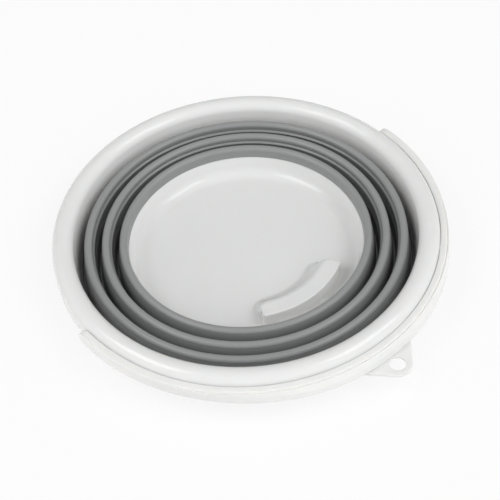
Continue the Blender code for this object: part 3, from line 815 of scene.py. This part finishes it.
def circle_rows(profile, angles):
    """Rows round the axis: each (r, z) of the profile at its own angles, x = r sin a, y = -r cos a."""
    r, z = profile[:, :1], profile[:, 1:]
    return np.stack([r * np.sin(angles), -r * np.cos(angles), z + 0 * angles], axis=-1)


print("rows over the floor:", FLOOR_ROWS)

# %% [markdown]
# The dish's wall meets the floor in a wide round, leans out to the edge that the soft wall is bonded
# to, and comes down outside to the foot ring that the bucket stands on.

# %% The dish
FILLET_STEPS = 14
UNDER_FLOOR = -88
FOOT_SET_BACK = 0.0008
FOOT_WIDTH = 0.0028
FOOT_OUTER = FLOOR_RADIUS - FOOT_SET_BACK
FOOT_INNER = FOOT_OUTER - FOOT_WIDTH


def dish_wall_profile():
    """(r, z) from the floor up the inside, over the edge, down outside and round the foot ring."""
    centre = (FLOOR_RADIUS, FLOOR_TOP + DISH_FILLET)
    top_angle = DISH_SLOPE - 90
    inside = arc(centre, DISH_FILLET, -90, top_angle, FILLET_STEPS)
    outside = arc(centre, DISH_FILLET + FLOOR_WALL, top_angle, UNDER_FLOOR, FILLET_STEPS)
    profile = outline(
        inside,
        (JOINT_RADIUS, JOINT_HEIGHT, EDGE_ROUNDING),
        (JOINT_RADIUS + WALL_ACROSS, JOINT_HEIGHT, EDGE_ROUNDING),
        outside,
        (FOOT_OUTER, FOOT_HEIGHT, FINE),
        (FOOT_OUTER, 0, FINE),
        (FOOT_INNER, 0, FINE),
        (FOOT_INNER, FOOT_HEIGHT, FINE),
    )
    start = np.argmin(np.linalg.norm(profile - inside[0], axis=1))
    return np.roll(profile, -start, axis=0)


def make_dish():
    """All rows in one sheet. The wall's angles go evenly from those of the floor to those below it."""
    top = block_rows(0, BLOCK_HEIGHT, BLOCK_FOOT)
    floor_sheet, top_angles = floor_rows(top[-1], FLOOR_RADIUS, FLOOR_TOP)
    roof = block_rows(FLOOR_WALL, BLOCK_HEIGHT - FLOOR_WALL, FIT_GAP)
    roof[-1, :, 2] = FOOT_HEIGHT + FLOOR_CROWN / 2
    under, under_angles = floor_rows(roof[-1], FOOT_INNER, FOOT_HEIGHT)
    profile = dish_wall_profile()
    along = np.linspace(0, 1, len(profile))[:, None]
    wall = circle_rows(profile, top_angles * (1 - along) + under_angles * along)
    rows = np.concatenate([top, floor_sheet, wall, under[::-1], roof[::-1]])
    return make_piece("dish", rows, closed_rows=False)


dish = finish_piece(make_dish(), white, "base_dish")
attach(dish, "base")

# %% [markdown]
# The soft wall. Each ring has a round bead on top, a fine crease where the bead meets the wall inside,
# a thick wall that ends in a sharp lip, and a thin wall with a foot below. All of it is one outline
# carried round the axis. The crease and the lip could be bumps in a material, but they show in the
# outline of a ring, so they are in the mesh. The first ring has no lip: it laps round the outside of
# the dish's edge, to which it is bonded.

# %% The bead and the first ring
WEB_SEAT = 0.0027
SEAT_DROP = 0.0004
BEAD_STEPS = 26
BEAD_LIFTS = {1: 0.0004, 2: 0.0010, 3: 0.0020}
CREASE = 0.0003
CREASE_BEND = 0.0002
LAP_DEPTH = 0.0063
LAP_WALL = 0.0018
FIRST_WALL_DROP = 0.0012


def bead(number):
    """A half circle over a ring, from its inner side over the top, lifted a little to its crest."""
    centre = (RING_RADII[number], CREST_HEIGHT + BEAD_LIFTS[number])
    return arc(centre, BEAD_RADIUS, 180, 0, BEAD_STEPS)


def first_ring_outline():
    """The bead, down its outer side to the lap round the dish's edge, and up the inner side."""
    lap_lean = LAP_DEPTH / math.tan(DISH_LEAN)
    lap_foot = JOINT_HEIGHT - LAP_DEPTH
    edge = JOINT_RADIUS + WALL_ACROSS + FIT_GAP
    inner = RING_1_RADIUS - BEAD_RADIUS
    outer = RING_1_RADIUS + BEAD_RADIUS
    return outline(
        bead(1),
        (outer, CREST_HEIGHT, CRISP),
        (outer - WEB_SEAT, CREST_HEIGHT - SEAT_DROP, SOFT),
        (edge + LAP_WALL, JOINT_HEIGHT, SOFT),
        (edge + LAP_WALL - lap_lean, lap_foot, FINE),
        (edge - lap_lean, lap_foot, CRISP),
        (edge, JOINT_HEIGHT + FIT_GAP, CREASE_BEND),
        (JOINT_RADIUS, JOINT_HEIGHT + FIT_GAP, EDGE_ROUNDING),
        (inner, CREST_HEIGHT - FIRST_WALL_DROP, SOFT),
        (inner + CREASE, CREST_HEIGHT - CREASE, CRISP),
    )


print("bead width in mm:", BEAD_RADIUS * 2000)

# %% [markdown]
# The second and third rings share one outline. Below the bead comes the crease, then a soft ridge, the
# wall, the lip that flares in over the valley, and behind it the thin wall down to the foot.

# %% The other rings
WEB_WALL = 0.0012
FOOT_WALL = 0.0012
FOOT_STEP = 0.0016
THIN_WALL = 0.0014
LIP_RISE = 0.011
LIP_REACH = 0.0022
LIP_DROP = 0.0016
LIP_WALL = 0.0034
LIP_NECK = 0.0025
LIP_BACK_BEND = 0.0012
LIP_EDGE_RISE = 0.0001
LIP_EDGE_DROP = 0.0006
WALL_FOOT_RISE = 0.0024
WALL_FOOT_REACH = 0.0008
WALL_FOOT_BEND = 0.0018
WALL_REACH = 0.0009
WALL_BEND = 0.0020
RIDGE_DROP = 0.0024
RIDGE_REACH = 0.0014
RIDGE_BEND = 0.0009
CREASE_DROP = 0.0010
BEAD_FOOT_DROP = 0.0006


def ring_outline(number):
    """The bead, down its outer side to the foot, and up inside by lip, wall, ridge and crease."""
    radius = RING_RADII[number]
    inner = radius - BEAD_RADIUS
    outer = radius + BEAD_RADIUS
    web_foot = radius - RING_PITCH + WEB_FOOT_REACH
    thin = web_foot + FOOT_STEP
    lip = inner - LIP_REACH
    lip_top = VALLEY_HEIGHT + LIP_RISE
    lip_low = lip_top - LIP_DROP
    foot_low = VALLEY_HEIGHT - FOOT_WALL
    return outline(
        bead(number),
        (outer, CREST_HEIGHT, CRISP),
        (outer - WEB_SEAT, CREST_HEIGHT - SEAT_DROP, SOFT),
        (lip + LIP_WALL, lip_top, LIP_BACK_BEND),
        (lip + LIP_NECK, lip_low, SOFT),
        (thin + THIN_WALL, foot_low, FINE),
        (web_foot - WEB_WALL, foot_low, FINE),
        (web_foot - WEB_WALL, VALLEY_HEIGHT, CRISP),
        (thin, VALLEY_HEIGHT, FINE),
        (lip + LIP_NECK - THIN_WALL, lip_low, FINE),
        (lip, lip_top - LIP_EDGE_DROP, CRISP),
        (lip, lip_top + LIP_EDGE_RISE, EDGE_ROUNDING),
        (inner - WALL_FOOT_REACH, lip_top + WALL_FOOT_RISE, WALL_FOOT_BEND),
        (inner - WALL_REACH, CREST_HEIGHT - 2 * RIDGE_DROP, WALL_BEND),
        (inner - RIDGE_REACH, CREST_HEIGHT - RIDGE_DROP, RIDGE_BEND),
        (inner + CREASE, CREST_HEIGHT - CREASE_DROP, CREASE_BEND),
        (inner, CREST_HEIGHT - BEAD_FOOT_DROP, CRISP),
    )


ring_outlines = {1: first_ring_outline(), 2: ring_outline(2), 3: ring_outline(3)}
ring_bodies = {1: "base", 2: "band_2", 3: "band_3"}
for number, profile in ring_outlines.items():
    ring = make_piece(f"soft_ring_{number}", turned(profile))
    finish_piece(ring, grey, f"fold_ring_{number}")
    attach(ring, ring_bodies[number])

# %% [markdown]
# Thin webs join each bead to the foot of the next ring. When a fold opens, the web turns inside out:
# its top stays with the inner ring while its bottom rises with the outer one. Here each web is a mesh
# of many rows, made in its folded place.

# %% The webs
WEB_ROWS = 40
WEB_BOW = 0.0004
WEB_TUCK = 0.0006


def web_sheet(radius):
    """A thin wall from the bead down to the next foot, at r = edge + flare s + bow 4 s (1-s).

    s is the share of the way down. Both ends run on a little into the rings that they are moulded to.
    """
    top = CREST_HEIGHT + WEB_TUCK
    bottom = VALLEY_HEIGHT - WEB_TUCK / 2
    height = top - (top - bottom) * np.linspace(0, 1, WEB_ROWS)
    share = np.clip((CREST_HEIGHT - height) / FOLD_DEPTH, 0, 1)
    tuck = np.where(height > CREST_HEIGHT, WEB_TUCK / 4, 0)
    bow = WEB_BOW * 4 * share * (1 - share)
    outer = radius + BEAD_RADIUS + WEB_FLARE * share + bow - tuck
    outside = np.stack([outer, height], axis=-1)
    inside = np.stack([outer - WEB_WALL, height], axis=-1)[::-1]
    return turned(np.concatenate([outside, inside]))


web_bodies = {1: ("base", "band_2"), 2: ("band_2", "band_3"), 3: ("band_3", "rim")}
for number, (low_body, high_body) in web_bodies.items():
    web = make_piece(f"soft_web_{number}", web_sheet(RING_RADII[number]))
    finish_piece(web, grey, f"fold_web_{number}")
    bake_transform(web)

# %% [markdown]
# The collar is the last fold of the soft wall. It grips the foot of the rim's inner skirt from below
# and from outside. The skirt leans, so its face is worked out first, and collar and rim both use it.

# %% The collar
CROWN_RADIUS = 0.009
SKIRT_TAPER = 0.0032
LIP_RADIUS = RIM_WIDTH - SKIRT_TAPER - FIT_GAP - CROWN_RADIUS
LIP_CENTRE = (SKIRT_RADIUS + SKIRT_TAPER + LIP_RADIUS, RIM_TOP - LIP_RADIUS)
COLLAR_RISE = 0.012
COLLAR_WALL = 0.0018
COLLAR_TOP_BEND = 0.0007


def skirt_face(height):
    """Radius of the inner skirt's inside face, which leans out evenly from its foot to the crown."""
    return SKIRT_RADIUS + SKIRT_TAPER * (height - SKIRT_BOTTOM) / (LIP_CENTRE[1] - SKIRT_BOTTOM)


def collar_outline():
    """Down outside the skirt, under it to the web's foot, and back up along the skirt with a gap."""
    web_foot = RING_3_RADIUS + WEB_FOOT_REACH
    top = SKIRT_BOTTOM + COLLAR_RISE
    low = VALLEY_HEIGHT - FOOT_WALL
    under = SKIRT_BOTTOM - FIT_GAP
    top_face = skirt_face(top) + RIM_WALL + FIT_GAP
    low_face = skirt_face(under) + RIM_WALL + FIT_GAP
    return outline(
        (top_face + COLLAR_WALL, top, COLLAR_TOP_BEND),
        (low_face + COLLAR_WALL, low, SOFT),
        (web_foot - WEB_WALL, low, FINE),
        (web_foot - WEB_WALL, VALLEY_HEIGHT, CRISP),
        (web_foot + FOOT_STEP / 2, VALLEY_HEIGHT, EDGE_ROUNDING),
        (web_foot + FOOT_STEP, under, CRISP),
        (low_face, under, CRISP),
        (top_face, top, CRISP),
    )


collar = make_piece("soft_collar", turned(collar_outline()))
finish_piece(collar, grey, "rim_collar")
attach(collar, "rim")

# %% [markdown]
# The rim is an upside-down channel with a round crown, open below, so that fingers can curl under it.
# Its two sides have crowns of their own radius, which meet at the top.

# %% The rim's channel
OUTER_SKIRT_DEPTH = 0.020
OUTER_SKIRT_BOTTOM = RIM_TOP - OUTER_SKIRT_DEPTH
SKIRT_BEND = 0.0005
SKIRT_FOOT_BEND = 0.0007
CROWN_STEPS = 24
HOLLOW_STEPS = 12


def rim_outline():
    """Over the outer crown, round the outer skirt, under both crowns and round the inner skirt."""
    centre = (RIM_RADIUS - CROWN_RADIUS, RIM_TOP - CROWN_RADIUS)
    return outline(
        arc(centre, CROWN_RADIUS, 90, 0, CROWN_STEPS),
        (RIM_RADIUS, OUTER_SKIRT_BOTTOM, SOFT),
        (RIM_RADIUS - RIM_WALL, OUTER_SKIRT_BOTTOM, SKIRT_BEND),
        arc(centre, CROWN_RADIUS - RIM_WALL, 0, 90, HOLLOW_STEPS),
        arc(LIP_CENTRE, LIP_RADIUS - RIM_WALL, 90, 180, HOLLOW_STEPS),
        (SKIRT_RADIUS + RIM_WALL, SKIRT_BOTTOM, SKIRT_BEND),
        (SKIRT_RADIUS, SKIRT_BOTTOM, SKIRT_FOOT_BEND),
        arc(LIP_CENTRE, LIP_RADIUS, 180, 90, CROWN_STEPS),
    )


rim = make_piece("rim_channel", turned(rim_outline()))

# %% [markdown]
# The hanging lug is a flat plate with a hole. A plate could be filled and then drilled with a Boolean,
# but its edges wouldn't be rounded. So its grid runs round the hole one way and, the other way, round
# the plate's thickness: out underneath, up the lug's edge, back over the top and down the hole.

# %% The lug
LUG_TIP_RADIUS = 0.0128
LUG_REACH = 0.0295
LUG_TIP = RIM_RADIUS + LUG_REACH
LUG_CENTRE = np.array([0, LUG_TIP_RADIUS - LUG_TIP])
LUG_SIDE_ANGLE = math.radians(42)
LUG_THICKNESS = 0.003
LUG_SEAT = 0.001
LUG_TOP = OUTER_SKIRT_BOTTOM + LUG_SEAT
LUG_STEPS = 128
HOLE_RADIUS = 0.00675
HOLE_INSET = 0.0117
HOLE_CENTRE = np.array([0, HOLE_INSET - LUG_TIP])


def lug_reach(angle):
    """How far the lug's edge lies from the hole's centre, along each ray.

    The edge is the nearest of three lines: the round tip, two straight sides that touch it, and, on the
    bucket's side, a circle inside the rim's skirt.
    """
    way = np.stack([np.cos(angle), np.sin(angle)], axis=-1)
    off = LUG_CENTRE - HOLE_CENTRE
    b = way @ off
    tip = b + np.sqrt(b**2 - off @ off + LUG_TIP_RADIUS**2)
    side = np.array([math.cos(LUG_SIDE_ANGLE), -math.sin(LUG_SIDE_ANGLE)])
    across = np.abs(way[:, 0]) * side[0] + way[:, 1] * side[1]
    straight = (LUG_TIP_RADIUS + off @ side) / np.maximum(across, FIT_GAP)
    touches = np.arctan2(side[1] * LUG_TIP_RADIUS + off[1], side[0] * LUG_TIP_RADIUS)
    beyond = np.arctan2(way[:, 1], np.abs(way[:, 0])) > touches
    edge = np.where(beyond, straight, tip)

    root = RIM_RADIUS - RIM_WALL / 2
    b = way @ HOLE_CENTRE
    inside = b**2 - HOLE_CENTRE @ HOLE_CENTRE + root**2
    back_edge = -b - np.sqrt(np.maximum(inside, 0))
    meets_rim = (inside > 0) & (way[:, 1] > 0)
    return np.where(meets_rim, np.minimum(edge, back_edge), edge)


def lug_sheet():
    """A plate with a hole: at each angle a rounded bar from the hole's edge to the lug's edge."""
    angle = np.linspace(-np.pi, np.pi, LUG_STEPS, endpoint=False) + np.pi / LUG_STEPS
    far = lug_reach(angle)
    near, low, high = (
        np.full_like(far, size) for size in (HOLE_RADIUS, LUG_TOP - LUG_THICKNESS, LUG_TOP)
    )
    bar = ((near, low), (far, low), (far, high), (near, high))
    corners = np.stack([np.stack(corner, axis=-1) for corner in bar], axis=1)
    bar = softened(corners, np.full(corners.shape[:2], SOFT))
    a = angle[:, None]
    x = HOLE_CENTRE[0] + bar[..., 0] * np.cos(a)
    y = HOLE_CENTRE[1] + bar[..., 0] * np.sin(a)
    return np.stack([x, y, bar[..., 1]], axis=-1)


lug = make_piece("lug", lug_sheet())

# %% [markdown]
# Rim and lug are one moulding, and the rim has two holes for the handle's pins. The Boolean modifier
# joins and cuts closed pieces exactly. Its result becomes the mesh at once, so nothing hangs on it.

# %% Join the lug and drill the pin holes
PIN_DROP = 0.0115
PIN_HEIGHT = RIM_TOP - PIN_DROP
PIN_HOLE_RADIUS = 0.0039
ROD_SIDES = 48


def rod(name, radius, start, end, chamfer=0.0):
    """A round bar along X from start to end, with chamfered ends that close to a point on its axis."""
    x = np.array([start, start, start + math.copysign(chamfer, end - start)])
    x = np.concatenate([x, (end + start - x)[::-1]])
    r = np.array([0, radius - chamfer, radius, radius, radius - chamfer, 0])
    a = np.linspace(0, 2 * np.pi, ROD_SIDES, endpoint=False)[:, None] + np.pi / ROD_SIDES
    sheet = np.stack([x + 0 * a, r * np.cos(a), PIN_HEIGHT + r * np.sin(a)], axis=-1)
    return make_piece(name, sheet, closed_columns=False)


def combine(piece, tool, operation):
    """Joins a tool to a piece, or cuts it out, and removes the tool."""
    boolean = piece.modifiers.new("Combine", "BOOLEAN")
    boolean.object = tool
    boolean.operation = operation
    boolean.solver = "EXACT"
    piece.modifiers.move(len(piece.modifiers) - 1, 0)
    bpy.context.view_layer.update()
    graph = bpy.context.evaluated_depsgraph_get()
    mesh = bpy.data.meshes.new_from_object(piece.evaluated_get(graph))
    piece.modifiers.remove(boolean)
    piece.data = mesh
    mesh.shade_smooth()
    mesh.set_sharp_from_angle(angle=SHARP_ANGLE)
    bpy.data.objects.remove(tool)


combine(rim, lug, "UNION")
for side in (-1, 1):
    near, far = RIM_RADIUS - 2 * RIM_WALL, RIM_RADIUS + RIM_WALL
    combine(rim, rod("pin_hole", PIN_HOLE_RADIUS, side * near, side * far), "DIFFERENCE")
finish_piece(rim, white, "rim")
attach(rim, "rim")
print("rim faces:", len(rim.data.polygons))

# %% [markdown]
# The handle is one outline carried along a half circle, and it changes on the way, which is why it is a
# grid and no bent bar. Near the pins it is a plain upright band. Towards the middle its outer side
# flares into a grip, with a groove along its top near the outer edge, and it is hollow underneath. The
# ends are round: there the outline shrinks like the slices of a ball.

# %% The handle's sizes
HANDLE_PLAY = 0.0002
HANDLE_RADIUS = RIM_RADIUS + HANDLE_PLAY
HANDLE_TOP_WIDTH = 0.0066
HANDLE_FLARE = 0.0041
HANDLE_WALL = 0.0020
HANDLE_HALF_HEIGHT = 0.006
HANDLE_REACH = 0.0082
HANDLE_SEAT = 0.0004
HANDLE_LOW = LUG_TOP + HANDLE_SEAT
HANDLE_DROP = 0.0070
HANDLE_HIGH = RIM_TOP - HANDLE_DROP
HANDLE_STATIONS = 180
CAP_STATIONS = 24
LEAST_DEPTH = 0.0002
HOLLOW_DEPTH = 0.0058
GROOVE_DEPTH = 0.0012
GRIP_BULGE = 0.0008
GRIP_BEND = 0.0030
GRIP_FOOT_BEND = 0.0014
GRIP_FOOT_LEAN = 0.0003
HOLLOW_BEND = 0.0005
HOLLOW_DRAFT = 0.0002
TIP_POWER = 6

# From the first angle to the second, counted from the grip's middle, each feature comes in.
FLARE_ANGLES = (60, 12)
SINK_ANGLES = (84, 52)
HOLLOW_ANGLES = (78, 66)
GROOVE_ANGLES = (68, 50)

# Three corners of the groove, in groove depths from the shoulder's top, with the bend of each.
GROOVE_CORNERS = ((-1.3, 0, FINE), (-0.6, -1.3, 0.0001), (0.2, -0.6, FINE))


def eased(angle, start, end):
    """0 beyond the start angle from the middle, 1 inside the end angle, and 3t^2 - 2t^3 between."""
    t = np.clip((math.radians(start) - np.abs(angle)) / math.radians(start - end), 0, 1)
    return t * t * (3 - 2 * t)


handle_reach = HANDLE_RADIUS + HANDLE_TOP_WIDTH + HANDLE_FLARE
print("the grip reaches in mm:", round(handle_reach * 1000, 1))

# %% The handle's band


def handle_section(angle):
    """The band's outline at each angle, as (r, z), from its inner foot over the top and back below."""
    flare = eased(angle, *FLARE_ANGLES)
    sink = eased(angle, *SINK_ANGLES)
    low = (PIN_HEIGHT - HANDLE_HALF_HEIGHT) * (1 - sink) + HANDLE_LOW * sink
    high = (PIN_HEIGHT + HANDLE_HALF_HEIGHT) * (1 - sink) + HANDLE_HIGH * sink
    roof = low + LEAST_DEPTH + HOLLOW_DEPTH * eased(angle, *HOLLOW_ANGLES)
    groove = LEAST_DEPTH + GROOVE_DEPTH * eased(angle, *GROOVE_ANGLES)
    inner = HANDLE_RADIUS + 0 * angle
    shoulder = inner + HANDLE_TOP_WIDTH
    outer = shoulder + HANDLE_FLARE * flare
    middle = (shoulder + outer) / 2
    corners = [
        (inner, low, FINE),
        (inner, high, FINE),
        *((shoulder + groove * r, high + groove * z, bend) for r, z, bend in GROOVE_CORNERS),
        (middle + GRIP_BULGE * flare, (high + low) / 2, GRIP_BEND),
        (outer, low + GRIP_FOOT_BEND, GRIP_FOOT_BEND),
        (outer - GRIP_FOOT_LEAN, low, SOFT),
        (outer - HANDLE_WALL, low, HOLLOW_BEND),
        (middle - HANDLE_WALL - HOLLOW_DRAFT, roof, SOFT),
        (inner + HANDLE_WALL + HOLLOW_DRAFT, roof, SOFT),
        (inner + HANDLE_WALL, low, HOLLOW_BEND),
    ]
    points = np.stack([np.concatenate([r, z], axis=1) for r, z, _ in corners], axis=1)
    bends = np.array([[bend for _, _, bend in corners]]) * np.ones_like(angle)
    return softened(points, bends)


def handle_sheet():
    """The band's outline along the half circle, with its ends squeezed to a round tip.

    Beyond the pins the angle grows as sin q and the height shrinks as cos q, for q up to a right angle.
    """
    middle = np.linspace(-np.pi / 2, np.pi / 2, HANDLE_STATIONS + 1)
    cap = np.linspace(0, np.pi / 2, CAP_STATIONS + 2)[1:-1]
    beyond = np.pi / 2 + HANDLE_REACH / HANDLE_RADIUS * np.sin(cap)
    angle = np.concatenate([-beyond[::-1], middle, beyond])[:, None]
    squeeze = np.concatenate([np.cos(cap[::-1]), np.ones_like(middle), np.cos(cap)])[:, None]
    section = handle_section(angle)
    centre = HANDLE_RADIUS + HANDLE_TOP_WIDTH / 2
    thin = 1 - 2 * FINE / HANDLE_TOP_WIDTH * (1 - squeeze) ** TIP_POWER
    r = centre + (section[..., 0] - centre) * thin
    z = PIN_HEIGHT + (section[..., 1] - PIN_HEIGHT) * squeeze
    return np.stack([r * np.sin(angle), -r * np.cos(angle), z], axis=-1)


def close_ends(sheet):
    """Adds a last row at each end in which all points are the row's middle, so the ends are closed."""
    first = np.broadcast_to(sheet[:1].mean(axis=1, keepdims=True), sheet[:1].shape)
    last = np.broadcast_to(sheet[-1:].mean(axis=1, keepdims=True), sheet[-1:].shape)
    return np.concatenate([first, sheet, last])


handle = make_piece("handle_band", close_ends(handle_sheet()), closed_rows=False)

# %% [markdown]
# A pin inside each end goes through the rim's hole, and a head behind the wall keeps it there. They are
# moulded to the handle, so they are joined to its mesh and turn with it.

# %% Pins and snap heads
PIN_RADIUS = 0.0035
HEAD_RADIUS = 0.0045
HEAD_CHAMFER = 0.0004
HEAD_THICKNESS = 0.0018
HEAD_PLAY = 0.0006
HEAD_OUTER = RIM_RADIUS - RIM_WALL - HEAD_PLAY
HEAD_INNER = HEAD_OUTER - HEAD_THICKNESS

for side in (-1, 1):
    root = HANDLE_RADIUS + HANDLE_TOP_WIDTH / 2
    inside = HEAD_OUTER - HEAD_THICKNESS / 2
    combine(handle, rod("pin", PIN_RADIUS, side * root, side * inside), "UNION")
    head = rod("snap_head", HEAD_RADIUS, side * HEAD_OUTER, side * HEAD_INNER, HEAD_CHAMFER)
    combine(handle, head, "UNION")
finish_piece(handle, handle_white_painted_lighter, "handle")
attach(handle, "handle")
print("handle faces:", len(handle.data.polygons))
